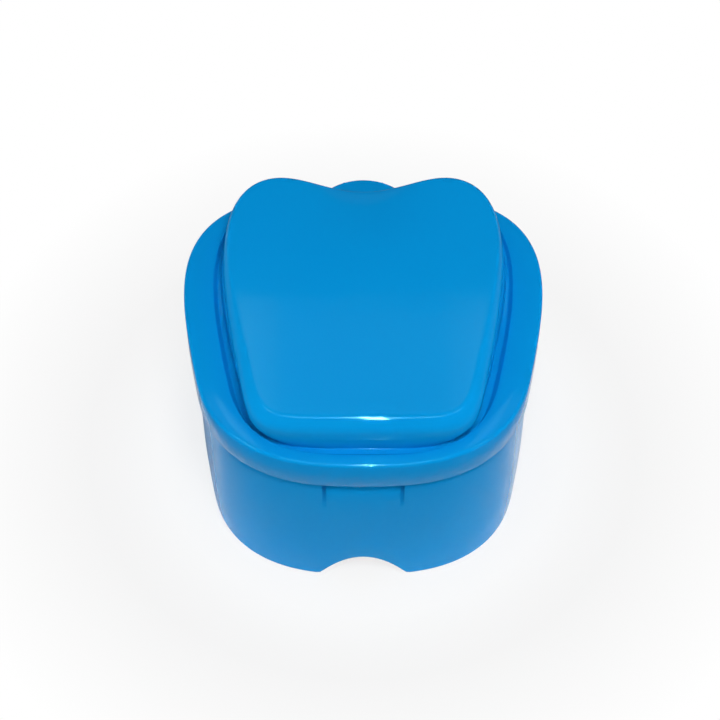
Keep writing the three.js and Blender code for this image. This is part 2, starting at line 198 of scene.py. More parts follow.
def pullFace(bm, face, distance):
    # extrudes a face and returns the new vertices
    pulled = bmesh.ops.extrude_face_region(bm, geom=[face], use_keep_orig=True)
    far = [g for g in pulled["geom"] if isinstance(g, bmesh.types.BMVert)]
    bmesh.ops.translate(bm, vec=distance, verts=far)
    return far


def endEdges(verts):
    # the edges that run square to the x axis
    return list({e for v in verts for e in v.link_edges
                 if abs(e.verts[0].co.x - e.verts[1].co.x) < tiny})


def addBlock(bm, low, high):
    low, high = Vector(low), Vector(high)
    verts = bmesh.ops.create_cube(bm, size=1)["verts"]
    bmesh.ops.scale(bm, vec=high - low, verts=verts)
    bmesh.ops.translate(bm, vec=(low + high) / 2, verts=verts)


def addWallBlock(bm, index, near, far, width, lowZ, highZ, ease, roundEnds=False):
    # a block square to the wall at one point of the brim loop, from one inset to another
    outer = inset(brimLoop, near)[index]
    inner = inset(brimLoop, far)[index]
    verts = bmesh.ops.create_cube(bm, size=1)["verts"]
    bmesh.ops.scale(bm, vec=(far - near, width, highZ - lowZ), verts=verts)
    across = inner - outer
    turn = Matrix.Rotation(math.atan2(across.y, across.x), 3, "Z")
    middle = (outer + inner) / 2
    edges = {e for v in verts for e in v.link_edges}
    if roundEnds:
        edges = {e for e in edges if abs(e.verts[0].co.x - e.verts[1].co.x) > tiny}
    bmesh.ops.rotate(bm, cent=(0, 0, 0), matrix=turn, verts=verts)
    bmesh.ops.translate(bm, vec=(middle.x, middle.y, (lowZ + highZ) / 2), verts=verts)
    roundEdges(bm, list(edges), ease, roundSteps if roundEnds else easeSteps)


def addSideView(bm, profile, lowX, highX, ease=0.0):
    # a side view drawn as (y, z), pulled across the box between two x positions
    verts = [bm.verts.new((lowX, y, z)) for y, z in profile]
    far = pullFace(bm, bm.faces.new(verts), (highX - lowX, 0, 0))
    if ease:
        roundEdges(bm, endEdges(verts + far), ease, easeSteps)


def meshObject(bm, name):
    # a closed mesh with its faces outwards; the print line tells of any edge left open
    bmesh.ops.recalc_face_normals(bm, faces=bm.faces)
    if bm.calc_volume(signed=True) < 0:
        bmesh.ops.reverse_faces(bm, faces=bm.faces)
    openEdges = sum(not e.is_manifold for e in bm.edges)
    print(name, "volume", round(bm.calc_volume(signed=True)), "open edges", openEdges)
    mesh = bpy.data.meshes.new(name)
    bm.to_mesh(mesh)
    bm.free()
    obj = bpy.data.objects.new(name, mesh)
    bpy.context.scene.collection.objects.link(obj)
    return obj


def combine(piece, tool, operation):
    # joins a tool mesh to a piece or cuts it away, and keeps only the result
    modifier = piece.modifiers.new("combine", "BOOLEAN")
    modifier.operation = operation
    modifier.solver = "EXACT"
    modifier.object = tool
    bpy.context.view_layer.objects.active = piece
    bpy.ops.object.modifier_apply(modifier=modifier.name)
    bpy.data.objects.remove(tool)


def finishPiece(piece, body, node, material):
    # scales a piece to metres, smooths it and puts it in the place of its solid
    piece.data.transform(Matrix.Scale(mm, 4))
    piece.data.materials.clear()
    piece.data.materials.append(material)
    for polygon in piece.data.polygons:
        polygon.use_smooth = True
    piece.data.set_sharp_from_angle(angle=math.radians(smoothAngle))
    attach(piece, body)
    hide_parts(node)
    print(piece.name, "ready:", len(piece.data.polygons), "faces")


# Materials

plasticLook = {
    "tint": (0.0018, 0.286, 0.68), "tintDeep": (0.0012, 0.262, 0.65), "tintScale": 26.0,
    "roughLow": 0.04, "roughHigh": 0.08, "ior": 1.2, "specular": 0.5, "sheenTint": (0.25, 0.85, 1.0),
    "waveScale": 120.0, "waveDepth": 0.00003, "grainScale": 2600.0, "grainDepth": 0.0000012,
}
basketLook = {
    "tint": (0.012, 0.36, 0.74), "tintDeep": (0.008, 0.33, 0.70), "tintScale": 40.0,
    "roughLow": 0.24, "roughHigh": 0.34, "ior": 1.4, "specular": 0.6, "sheenTint": (0.3, 0.85, 1.0),
    "waveScale": 160.0, "waveDepth": 0.00002, "grainScale": 1800.0, "grainDepth": 0.000004,
}
wearLook = {
    "smudgeScale": 90, "smudgeRough": 0.62, "smudgeLow": 0.35, "smudgeHigh": 0.7,
    "hairTurn": 24, "hairStretch": (90, 2600, 900), "hairLow": 0.72, "hairHigh": 0.8, "hairRough": 0.18,
}
steelLook = {
    "stretch": (60, 5200, 5200), "shadeDark": (0.46, 0.47, 0.48), "shadeLight": (0.62, 0.63, 0.64),
    "roughLow": 0.22, "roughHigh": 0.42, "lineDepth": 0.000006,
}


def newMaterial(name):
    material = bpy.data.materials.new(name)
    material.use_nodes = True
    tree = material.node_tree
    return material, tree.nodes, tree.links, tree.nodes["Principled BSDF"]


def addNoise(nodes, links, vector, scale, detail, roughness=0.5):
    noise = nodes.new("ShaderNodeTexNoise")
    noise.inputs["Scale"].default_value = scale
    noise.inputs["Detail"].default_value = detail
    noise.inputs["Roughness"].default_value = roughness
    links.new(vector, noise.inputs["Vector"])
    return noise.outputs["Fac"]


def addRange(nodes, links, value, fromLow=0.0, fromHigh=1.0, toLow=0.0, toHigh=1.0):
    change = nodes.new("ShaderNodeMapRange")
    change.inputs["From Min"].default_value = fromLow
    change.inputs["From Max"].default_value = fromHigh
    change.inputs["To Min"].default_value = toLow
    change.inputs["To Max"].default_value = toHigh
    links.new(value, change.inputs["Value"])
    return change.outputs["Result"]


def addTint(nodes, links, share, first, second):
    tint = nodes.new("ShaderNodeMix")
    tint.data_type = "RGBA"
    tint.inputs["A"].default_value = (*first, 1)
    tint.inputs["B"].default_value = (*second, 1)
    links.new(share, tint.inputs["Factor"])
    return tint.outputs["Result"]


def addMath(nodes, links, operation, first, second):
    result = nodes.new("ShaderNodeMath")
    result.operation = operation
    links.new(first, result.inputs[0])
    links.new(second, result.inputs[1])
    return result.outputs["Value"]


def addBump(nodes, links, height, depth, below=None):
    bump = nodes.new("ShaderNodeBump")
    bump.inputs["Strength"].default_value = 1
    bump.inputs["Distance"].default_value = depth
    links.new(height, bump.inputs["Height"])
    if below:
        links.new(below, bump.inputs["Normal"])
    return bump.outputs["Normal"]


def mouldedPlastic(name, look, offset):
    # cloudy tint, smudged gloss with hairline scratches, slow waves and a very fine grain
    material, nodes, links, shader = newMaterial(name)
    shader.inputs["IOR"].default_value = look["ior"]
    shader.inputs["Specular IOR Level"].default_value = look["specular"]
    shader.inputs["Specular Tint"].default_value = (*look["sheenTint"], 1)
    coords = nodes.new("ShaderNodeTexCoord")
    place = nodes.new("ShaderNodeMapping")
    place.inputs["Location"].default_value = offset
    links.new(coords.outputs["Object"], place.inputs["Vector"])
    spot = place.outputs["Vector"]

    clouds = addNoise(nodes, links, spot, look["tintScale"], detail=4)
    tint = addTint(nodes, links, clouds, look["tintDeep"], look["tint"])
    links.new(tint, shader.inputs["Base Color"])

    wear = wearLook
    smudges = addNoise(nodes, links, spot, wear["smudgeScale"], detail=6, roughness=wear["smudgeRough"])
    gloss = addRange(nodes, links, smudges, wear["smudgeLow"], wear["smudgeHigh"],
                     look["roughLow"], look["roughHigh"])
    # hairlines: a noise drawn out along one direction and cut to its thin crests
    drawn = nodes.new("ShaderNodeMapping")
    drawn.inputs["Rotation"].default_value = (0, 0, math.radians(wear["hairTurn"]))
    drawn.inputs["Scale"].default_value = wear["hairStretch"]
    links.new(spot, drawn.inputs["Vector"])
    hairs = addNoise(nodes, links, drawn.outputs["Vector"], scale=1, detail=2)
    crests = addRange(nodes, links, hairs, wear["hairLow"], wear["hairHigh"], 0, wear["hairRough"])
    links.new(addMath(nodes, links, "ADD", gloss, crests), shader.inputs["Roughness"])

    waves = addNoise(nodes, links, spot, look["waveScale"], detail=1)
    grain = addNoise(nodes, links, spot, look["grainScale"], detail=2)
    waveBump = addBump(nodes, links, waves, look["waveDepth"])
    links.new(addBump(nodes, links, grain, look["grainDepth"], waveBump), shader.inputs["Normal"])
    return material


def drawnSteel(name):
    # drawn wire: fine lines along the pin, a little uneven in gloss and shade
    look = steelLook
    material, nodes, links, shader = newMaterial(name)
    shader.inputs["Metallic"].default_value = 1
    coords = nodes.new("ShaderNodeTexCoord")
    drawn = nodes.new("ShaderNodeMapping")
    drawn.inputs["Scale"].default_value = look["stretch"]
    links.new(coords.outputs["Object"], drawn.inputs["Vector"])
    lines = addNoise(nodes, links, drawn.outputs["Vector"], scale=1, detail=3)
    shade = addTint(nodes, links, lines, look["shadeDark"], look["shadeLight"])
    gloss = addRange(nodes, links, lines, toLow=look["roughLow"], toHigh=look["roughHigh"])
    links.new(shade, shader.inputs["Base Color"])
    links.new(gloss, shader.inputs["Roughness"])
    links.new(addBump(nodes, links, lines, look["lineDepth"]), shader.inputs["Normal"])
    return material


lidPlastic = mouldedPlastic("lidPlastic", plasticLook, (0.0, 0.0, 0.0))
cupPlastic = mouldedPlastic("cupPlastic", plasticLook, (0.31, 0.17, 0.0))
basketPlastic = mouldedPlastic("basketPlastic", basketLook, (0.05, 0.42, 0.1))
pinSteel = drawnSteel("pinSteel")
print("materials ready")


# Hinge

hingeSize = {
    "y": 44.3, "z": 47.4, "pin": 1.25, "gap": 0.3, "pinEase": 0.3, "pinEaseSteps": 3,
    "ear": 2.9, "earWidth": 3.2, "earDrop": 11.0, "earEase": 0.3, "earTurn": -36.0,
    "knuckle": 2.6, "knuckleWidth": 11.2, "knuckleEase": 0.25, "sideGap": 0.5, "sides": 48,
}


def hingeArc(radius, start, end, steps):
    # points (y, z) round the hinge axis, between two angles in degrees from the rear
    size = hingeSize
    turns = [math.radians(start + (end - start) * i / steps) for i in range(steps + 1)]
    return [(size["y"] + radius * math.cos(a), size["z"] + radius * math.sin(a)) for a in turns]


def addBar(bm, radius, halfLength, ease=0.0):
    # a round bar along the hinge axis
    size = hingeSize
    rim = bmesh.ops.create_circle(bm, cap_ends=True, segments=size["sides"], radius=radius)["verts"]
    verts = rim + pullFace(bm, rim[0].link_faces[0], (0, 0, 2 * halfLength))
    bmesh.ops.translate(bm, vec=(0, 0, -halfLength), verts=verts)
    bmesh.ops.rotate(bm, cent=(0, 0, 0), matrix=Matrix.Rotation(math.pi / 2, 3, "Y"), verts=verts)
    bmesh.ops.translate(bm, vec=(0, size["y"], size["z"]), verts=verts)
    if ease:
        roundEdges(bm, endEdges(verts), ease, size["pinEaseSteps"])


def makePin():
    size = hingeSize
    bm = bmesh.new()
    addBar(bm, size["pin"], size["knuckleWidth"] / 2 + size["sideGap"] + size["earWidth"],
           size["pinEase"])
    finishPiece(meshObject(bm, "hingePin"), "base", "hinge_pin", pinSteel)


# Lid

lidSize = {
    "wall": 1.7, "skirtZ": 46.5, "skirtDraft": 0.1, "brimZ": 55.9,
    "lean": 2.5, "bellyZ": 60.5, "grooveZ": 54.5, "grooveExtra": 1.2, "grooveFull": 28.0,
    "grooveFade": 0.0, "grooveFadeRun": 16.0, "grooveSkin": 0.9, "ridgeZ": 56.2, "grooveFloor": 0.6,
    "rounds": (("outCrease", 0.65, 5), ("outEdge", 1.5, 6), ("outFoot", 0.3, 3), ("outGroove", 0.3, 3),
               ("outRidge", 0.3, 4), ("outBrim", 1.0, 6), ("outHem", 0.3, 2), ("inHem", 0.3, 2)),
    "frontTopZ": 66.7, "rearTopZ": 70.68, "crown": 0.7, "topMargin": 1.6, "topSteps": 12, "topPole": 0.3,
    "topDip": 2.9, "topDipHalf": 25.0, "topDipStart": 10.0,
    "roll": 1.1, "rollRun": 8.0, "rollHalf": 24.0,
    "tongueRadius": 15.0, "tongueReach": 47.4, "tongueRoot": 40.4, "tongueRound": 0.7,
    "tongueSteps": 4, "tongueSides": 96, "notchHalf": 10.1, "notchFrontY": 40.1,
}


def panelTop(x, y):
    size = lidSize
    front, rear = creaseOutline["front"], brimOutline["rear"]
    dip = softStep(y, size["topDipStart"], rear - size["topDipStart"]) * hump(x, size["topDipHalf"])
    height = size["frontTopZ"] + (size["rearTopZ"] - size["frontTopZ"]) * (y - front) / (rear - front)
    height += size["crown"] * (1 - (x / edgeOutline["halfWidth"]) ** 2)
    # between the lobes the top also rolls over softly towards its rear edge
    edgeY = edgeOutline["rear"] - edgeOutline["dip"] * hump(x, edgeOutline["dipHalf"])
    near = max(0.0, 1 - (edgeY - y) / size["rollRun"])
    return height - size["topDip"] * dip - size["roll"] * hump(x, size["rollHalf"]) * near ** 2


def panelStations(side, skin):
    # from the middle of the panel's top outwards and over its leaning edge
    size = lidSize
    height = lambda x, y: panelTop(x, y) - skin
    leaning = lambda x, y: panelTop(x, y) - size["lean"] - skin / 2
    flat = inset(creaseLoop, skin + size["topMargin"])
    steps, pole = size["topSteps"], size["topPole"]
    top = [(f"{side}Top{i}", shrink(flat, (i + pole) / (steps + pole)), height)
           for i in range(steps + 1)]
    return top + [(side + "Crease", inset(creaseLoop, skin / 2), height),
                  (side + "Edge", inset(edgeLoop, skin), leaning)]


def lidStations():
    # outside: down the bellied wall, through the groove, over the ridge and the brim to the hem;
    # inside: back up again under the brim
    size = lidSize
    skin = size["wall"]
    hem = inset(brimLoop, size["skirtDraft"])

    def groove(x, y):
        # deeper at the sides, and running out towards the rear, where the brim is narrow
        side = min(abs(x) / size["grooveFull"], 1) ** 2
        back = softStep(y, size["grooveFade"], size["grooveFadeRun"])
        return size["grooveZ"] - size["grooveExtra"] * side * (1 - back)

    under = lambda x, y: groove(x, y) - size["grooveSkin"]
    outside = panelStations("out", 0) + [
        ("outBelly", edgeLoop, size["bellyZ"]),
        ("outFoot", footLoop, groove),
        ("outGroove", between(footLoop, ridgeLoop, size["grooveFloor"]), groove),
        ("outRidge", ridgeLoop, size["ridgeZ"]),
        ("outBrim", brimLoop, size["brimZ"]),
        ("outHem", hem, size["skirtZ"]),
    ]
    inside = panelStations("in", skin) + [
        ("inFoot", inset(footLoop, skin), under),
        ("inRidge", inset(ridgeLoop, size["grooveSkin"]), under),
        ("inBrim", inset(brimLoop, skin), size["brimZ"] - skin),
        ("inHem", inset(hem, skin), size["skirtZ"]),
    ]
    return outside + inside[::-1]


def makeTongue(underZ):
    # a round plate, cut off inside the brim
    size = lidSize
    bm = bmesh.new()
    rim = bmesh.ops.create_circle(bm, cap_ends=True, segments=size["tongueSides"],
                                  radius=size["tongueRadius"])["verts"]
    upper = pullFace(bm, rim[0].link_faces[0], (0, 0, size["wall"]))
    middleY = size["tongueReach"] - size["tongueRadius"]
    bmesh.ops.translate(bm, vec=(0, middleY, underZ), verts=bm.verts)
    topEdges = list({e for v in upper for e in v.link_edges if all(w in upper for w in e.verts)})
    roundEdges(bm, topEdges, size["tongueRound"], size["tongueSteps"])
    cutPlane = bmesh.ops.bisect_plane(
        bm, geom=[*bm.verts, *bm.edges, *bm.faces],
        plane_co=(0, size["tongueRoot"], 0), plane_no=(0, 1, 0), clear_inner=True)
    bmesh.ops.holes_fill(bm, edges=[g for g in cutPlane["geom_cut"]
                                    if isinstance(g, bmesh.types.BMEdge)], sides=0)
    return meshObject(bm, "tongue")


def makeKnuckle(topZ):
    # hangs from the tongue and wraps the pin
    hinge = hingeSize
    bm = bmesh.new()
    profile = [(hinge["y"] - hinge["knuckle"], topZ)]
    profile += hingeArc(hinge["knuckle"], 180, 360, hinge["sides"] // 2)
    profile += [(hinge["y"] + hinge["knuckle"], topZ)]
    half = hinge["knuckleWidth"] / 2
    addSideView(bm, profile, -half, half, hinge["knuckleEase"])
    return meshObject(bm, "knuckle")


def makeLid():
    size, hinge = lidSize, hingeSize
    bm = bmesh.new()
    rings = loftRings(bm, lidStations())
    roundRings(bm, rings, size["rounds"])
    lid = meshObject(bm, "lidShell")

    # the skirt is open at the rear, where the hinge is
    underZ = size["brimZ"] - size["wall"]
    cut = bmesh.new()
    addBlock(cut, (-size["notchHalf"], size["notchFrontY"], size["skirtZ"] - 2 * overrun),
             (size["notchHalf"], brimOutline["rear"] + 2 * overrun, underZ))
    combine(lid, meshObject(cut, "notch"), "DIFFERENCE")

    tongue = makeTongue(underZ)
    combine(tongue, makeKnuckle(underZ + size["wall"] / 2), "UNION")
    combine(lid, tongue, "UNION")
    bore = bmesh.new()
    addBar(bore, hinge["pin"] + hinge["gap"], hinge["knuckleWidth"] / 2 + overrun)
    combine(lid, meshObject(bore, "bore"), "DIFFERENCE")
    finishPiece(lid, "cover", "lid", lidPlastic)


# Cup

cupSize = {
    "wallInset": 1.7, "lipInset": 2.9, "wall": 2.2, "draft": 0.3, "seamZ": 45.9, "lipZ": 53.4,
    "floorZ": 12.2, "floor": 1.8, "footRound": 0.9, "cornerRound": 4.0, "flatShare": 1.5, "edgeRound": 0.3,
    "rows": (13.0, 18.0, 23.0, 28.0, 33.0, 37.0, 41.5),
    "archHalf": 11.5, "archHeight": 9.0, "archToe": 1.2,
    "recessHalf": 9.75, "recessDepth": 1.6, "recessZ": 34.4, "recessTopZ": 47.9,
    "recessFlare": 0.35, "recessPower": 1.5, "recessSteps": 12, "backing": 1.6, "backingEase": 0.3,
    "shadowDepth": 1.0, "shadowFrom": 0.5, "shadowRun": 0.22,
    "lineZ": 33.0, "lineWidth": 1.0, "lineDepth": 3.0,
    "ribWidth": 1.8, "ribDepth": 3.4, "ribTopZ": 40.4, "ribEase": 0.35,
    "ribEighths": (1, 2, 3, 5, 6, 7),
}


def archLift(x, y):
    # height of the foot line: an arch in the middle whose toes run out smoothly
    size = cupSize
    ease = size["archHalf"] - size["archToe"] / 2
    if abs(x) <= ease:
        return size["archHeight"] * (1 - (x / size["archHalf"]) ** 2)
    t = math.sqrt(1 + 2 * (abs(x) - ease) / size["archToe"]) - 1
    easeZ = size["archHeight"] * (1 - (ease / size["archHalf"]) ** 2)
    return easeZ * (1 - min(t, 1)) ** 2


def makeCupShell():
    size = cupSize
    bm = bmesh.new()
    outerFoot = size["wallInset"] + size["draft"]
    innerTop = size["wallInset"] + size["wall"]
    underZ = size["floorZ"] - size["floor"]
    base = inset(brimLoop, outerFoot + size["wall"])
    flat = inset(brimLoop, innerTop + size["draft"] + size["cornerRound"] * size["flatShare"])
    walls = [(f"row{z}", inset(brimLoop, outerFoot - size["draft"] * z / size["seamZ"]), z)
             for z in size["rows"]]
    rings = loftRings(bm, [
        ("underPole", shrink(base, poleShare), underZ),
        ("underMiddle", shrink(base, 0.5), underZ),
        ("underCorner", base, underZ),
        ("inFoot", base, archLift),
        ("outFoot", inset(brimLoop, outerFoot), archLift),
        *walls,
        ("seam", inset(brimLoop, size["wallInset"]), size["seamZ"]),
        ("ledge", inset(brimLoop, size["lipInset"]), size["seamZ"]),
        ("lipOut", inset(brimLoop, size["lipInset"]), size["lipZ"]),
        ("lipIn", inset(brimLoop, innerTop), size["lipZ"]),
        ("floorCorner", inset(brimLoop, innerTop + size["draft"]), size["floorZ"]),
        ("floorFlat", flat, size["floorZ"]),
        ("floorMiddle", shrink(flat, 0.5), size["floorZ"]),
        ("floorPole", shrink(flat, poleShare), size["floorZ"]),
    ])
    roundRings(bm, rings, [
        ("outFoot", size["footRound"], 5), ("seam", size["edgeRound"], 2),
        ("lipOut", size["edgeRound"], 3), ("lipIn", size["edgeRound"], 3),
        ("floorCorner", size["cornerRound"], 6),
    ])
    return meshObject(bm, "cupShell")


def makeCupDetails(wallY):
    # ribs that carry the basket, the doubled wall behind the recess, and the hinge ears
    size, hinge = cupSize, hingeSize
    bm = bmesh.new()
    innerTop = size["wallInset"] + size["wall"]
    for eighth in size["ribEighths"]:
        addWallBlock(bm, eighth * loopPoints // 8, innerTop - size["wall"] / 2,
                     innerTop + size["ribDepth"], size["ribWidth"],
                     size["floorZ"] - size["floor"] / 2, size["ribTopZ"], size["ribEase"])

    rootY = brimOutline["front"] + (size["lipInset"] + innerTop) / 2
    backY = wallY + size["recessDepth"] + size["backing"]
    backZ = size["recessTopZ"] + size["backing"]
    half = size["recessHalf"] + size["backing"]
    addSideView(bm, [(rootY, size["recessZ"]), (backY, size["recessZ"] + backY - wallY),
                     (backY, backZ), (rootY, backZ + (backY - rootY) / 2)],
                -half, half, size["backingEase"])

    rootWall = brimOutline["rear"] - size["wallInset"] - size["wall"] / 2
    profile = [(rootWall, hinge["z"] + hinge["ear"]), (rootWall, hinge["z"] - hinge["earDrop"])]
    profile += hingeArc(hinge["ear"], hinge["earTurn"], 90, hinge["sides"] // 3)
    near = hinge["knuckleWidth"] / 2 + hinge["sideGap"]
    far = near + hinge["earWidth"]
    addSideView(bm, profile, near, far, hinge["earEase"])
    addSideView(bm, profile, -far, -near, hinge["earEase"])
    return meshObject(bm, "cupDetails")


def makeCupCuts(wallY):
    # the finger recess deepens upwards, most under the skirt, runs out below and narrows a little
    # inwards; the pin's bore runs through both ears
    size, hinge = cupSize, hingeSize
    bm = bmesh.new()
    scoop = [(wallY - 2 * overrun, size["recessZ"])]
    for i in range(size["recessSteps"] + 1):
        t = i / size["recessSteps"]
        deeper = min(max((t - size["shadowFrom"]) / size["shadowRun"], 0), 1)
        depth = size["recessDepth"] * t ** size["recessPower"] + size["shadowDepth"] * deeper
        scoop.append((wallY + depth, size["recessZ"] + t * (size["recessTopZ"] - size["recessZ"])))
    scoop.append((wallY - 2 * overrun, size["recessTopZ"]))
    addSideView(bm, scoop, -size["recessHalf"], size["recessHalf"])
    for vert in bm.verts:
        deep = (vert.co.y - wallY) / size["recessDepth"]
        vert.co.x *= 1 + (0.5 - deep) * size["recessFlare"] / size["recessHalf"]
    far = hinge["knuckleWidth"] / 2 + hinge["sideGap"] + hinge["earWidth"]
    addBar(bm, hinge["pin"] + hinge["gap"], far + overrun)
    return meshObject(bm, "cupCuts")


def makeRecessLines(wallY):
    # a fine line down each side of the recess, deep under the skirt and running out below
    size = cupSize
    bm = bmesh.new()
    profile = [(wallY - overrun, size["lineZ"]), (wallY, size["lineZ"]),
               (wallY + size["lineDepth"], size["recessTopZ"]), (wallY - overrun, size["recessTopZ"])]
    for side in (-1, 1):
        near = side * (size["recessHalf"] - size["lineWidth"] / 4)
        far = near + side * size["lineWidth"]
        addSideView(bm, profile, min(near, far), max(near, far))
    return meshObject(bm, "recessLines")


def makeCup():
    wallY = brimOutline["front"] + cupSize["wallInset"]
    cup = makeCupShell()
    combine(cup, makeCupDetails(wallY), "UNION")
    combine(cup, makeCupCuts(wallY), "DIFFERENCE")
    combine(cup, makeRecessLines(wallY), "DIFFERENCE")
    finishPiece(cup, "base", "body_shell", cupPlastic)


# Basket

basketSize = {
    "rimInset": 5.7, "wallInset": 8.1, "wall": 1.6, "rimZ": 42.5, "rim": 1.8, "rimRound": 0.45,
    "underZ": 17.6, "floor": 1.6, "draft": 1.4, "cornerRound": 5.0, "flatShare": 1.4, "flatStep": 0.5,
    "holeRadius": 1.9, "holePitch": 7.6, "holeMargin": 3.4, "holeSides": 24, "holeReach": 7,
    "slots": 24, "slotWidth": 2.6, "slotRound": 1.2, "slotLowZ": 24.5, "slotHighZ": 37.5,
    "tabWidth": 18.0, "tabTop": 12.0, "tabHeight": 8.0, "tabRound": 3.0, "tabSteps": 8, "tabEase": 0.35,
}


def makeBasketShell():
    size = basketSize
    bm = bmesh.new()
    outCorner = inset(brimLoop, size["wallInset"] + size["draft"])
    inCorner = inset(brimLoop, size["wallInset"] + size["draft"] + size["wall"])
    flat = inset(brimLoop, size["wallInset"] + size["draft"] + size["cornerRound"] * size["flatShare"])
    floorZ = size["underZ"] + size["floor"]
    rimUnder = size["rimZ"] - size["rim"]
    rings = loftRings(bm, [
        ("underPole", shrink(flat, poleShare), size["underZ"]),
        ("underMiddle", shrink(flat, 0.5), size["underZ"]),
        ("underFlat", flat, size["underZ"]),
        ("outCorner", outCorner, size["underZ"]),
        ("outNeck", inset(brimLoop, size["wallInset"]), rimUnder),
        ("rimLow", inset(brimLoop, size["rimInset"]), rimUnder),
        ("rimHigh", inset(brimLoop, size["rimInset"]), size["rimZ"]),
        ("rimIn", inset(brimLoop, size["wallInset"] + size["wall"]), size["rimZ"]),
        ("inCorner", inCorner, floorZ),
        ("inFlat", inset(flat, size["flatStep"]), floorZ),
        ("inMiddle", shrink(flat, 0.5), floorZ),
        ("inPole", shrink(flat, poleShare), floorZ),
    ])
    roundRings(bm, rings, [
        ("outCorner", size["cornerRound"], 6), ("inCorner", size["cornerRound"] - size["wall"], 5),
        ("rimLow", size["rimRound"], 3), ("rimHigh", size["rimRound"], 3),
        ("rimIn", size["rimRound"], 3),
    ])
    return meshObject(bm, "strainerBasket")


def makeTabs():
    # finger tabs, one on each side of the rim
    size = basketSize
    bm = bmesh.new()
    rimMiddle = (size["rimInset"] + size["wallInset"] + size["wall"]) / 2
    place = inset(brimLoop, rimMiddle)[loopPoints // 4]
    rootZ, topZ = size["rimZ"] - size["rim"] / 2, size["rimZ"] + size["tabHeight"]
    foot, head, soft = size["tabWidth"] / 2, size["tabTop"] / 2, size["tabRound"]
    turns = [math.pi / 2 * i / size["tabSteps"] for i in range(size["tabSteps"] + 1)]
    corner = [(head + soft * (math.cos(a) - 1), topZ + soft * (math.sin(a) - 1)) for a in turns]
    profile = [(place.y - foot, rootZ), (place.y + foot, rootZ)]
    profile += [(place.y + y, z) for y, z in corner]
    profile += [(place.y - y, z) for y, z in corner[::-1]]
    for x in (place.x, -place.x):
        addSideView(bm, profile, x - size["wall"] / 2, x + size["wall"] / 2, size["tabEase"])
    return meshObject(bm, "tabs")


def makeBasketCuts():
    # upright slots round the wall and drain holes on a square grid in the floor
    size = basketSize
    bm = bmesh.new()
    for i in range(size["slots"]):
        index = round((i + 0.5) / size["slots"] * loopPoints) % loopPoints
        addWallBlock(bm, index, size["wallInset"] - 2 * overrun,
                     size["wallInset"] + size["wall"] + size["draft"] + 2 * overrun,
                     size["slotWidth"], size["slotLowZ"], size["slotHighZ"], size["slotRound"],
                     roundEnds=True)
    limit = inset(brimLoop, size["wallInset"] + size["draft"] + size["cornerRound"]
                  + size["holeRadius"])
    cells = range(-size["holeReach"], size["holeReach"] + 1)
    for column in cells:
        for row in cells:
            spot = Vector((column, row)) * size["holePitch"]
            turn = math.atan2(spot.y, spot.x) + math.pi / 2
            index = round(turn / (2 * math.pi) * loopPoints) % loopPoints
            if spot.length + size["holeMargin"] > limit[index].length + size["holeRadius"]:
                continue
            hole = bmesh.ops.create_cone(bm, cap_ends=True, segments=size["holeSides"],
                                         radius1=size["holeRadius"], radius2=size["holeRadius"],
                                         depth=size["floor"] + 4 * overrun)["verts"]
            bmesh.ops.translate(bm, vec=(spot.x, spot.y, size["underZ"]), verts=hole)
    return meshObject(bm, "basketCuts")


def makeBasket():
    basket = makeBasketShell()
    combine(basket, makeTabs(), "UNION")
    combine(basket, makeBasketCuts(), "DIFFERENCE")
    finishPiece(basket, "basket", "strainer_basket", basketPlastic)


makeLid()
makeCup()
makePin()
makeBasket()


# Studio

cameraPlace = {
    "target": (0.0, -0.0042, 0.035), "distance": 0.6, "elevation": 54.0,
    "lens": 111.74, "sensor": 36, "shiftX": -0.0045, "shiftY": 0.0222, "nearest": 0.01,
}
lamps = {
    "softbox": {"at": (0.0, 0.362, 0.9), "aim": (0.0, 0.362, 0.0), "size": (0.7, 0.32), "watts": 1.0},
    "leftPane": {"at": (-0.16, 0.362, 0.89), "aim": (-0.16, 0.362, 0), "size": (0.05, 0.32), "watts": 0.22},
    "rightPane": {"at": (0.16, 0.362, 0.89), "aim": (0.16, 0.362, 0), "size": (0.05, 0.32), "watts": 0.14},
    "leftEdge": {"at": (-0.12, 0.362, 0.89), "aim": (-0.12, 0.362, 0), "size": (0.03, 0.32), "watts": 0.06},
    "rightEdge": {"at": (0.12, 0.362, 0.89), "aim": (0.12, 0.362, 0), "size": (0.03, 0.32), "watts": 0.04},
    "key": {"at": (0.04, -0.24, 0.52), "aim": (0, 0, 0.04), "size": (0.1, 0.08), "watts": 1.6},
    "shine": {"at": (0.0, -0.41, 0.67), "aim": (0, 0, 0.04), "size": (0.6, 0.2), "watts": 6.0},
    "leftShine": {"at": (-0.55, -0.25, 0.62), "aim": (0, 0, 0.04), "size": (0.25, 0.2), "watts": 3.0},
    "rightShine": {"at": (0.55, -0.25, 0.62), "aim": (0, 0, 0.04), "size": (0.25, 0.2), "watts": 3.0},
    "glow": {"at": (0.012, -0.5, 0.76), "aim": (0, 0, 0.04), "size": (0.06, 0.3), "watts": 1.4},
    "spark": {"at": (0.012, -0.52, 0.77), "aim": (0, 0, 0.04), "size": (0.018, 0.6), "watts": 11.0},
    "backPane": {"at": (0.0, 0.8, 0.5), "aim": (0, 0, 0.06), "size": (0.6, 0.2), "watts": 0.16},
    "leftFill": {"at": (-0.9, -0.25, 0.05), "aim": (0, 0, 0.03), "size": (0.5, 0.1), "watts": 3.2},
    "rightFill": {"at": (0.9, -0.25, 0.05), "aim": (0, 0, 0.03), "size": (0.5, 0.1), "watts": 3.2},
    "frontFill": {"at": (0.0, -0.9, 0.07), "aim": (0, 0, 0.04), "size": (0.5, 0.1), "watts": 0.25},
}
# these lamps light the surfaces, the others only show as reflections
softLamps = ("key", "leftFill", "rightFill", "frontFill")
roomLook = {"light": 0.41, "gloss": 0.12, "glossTint": (0.3, 0.9, 1.0)}
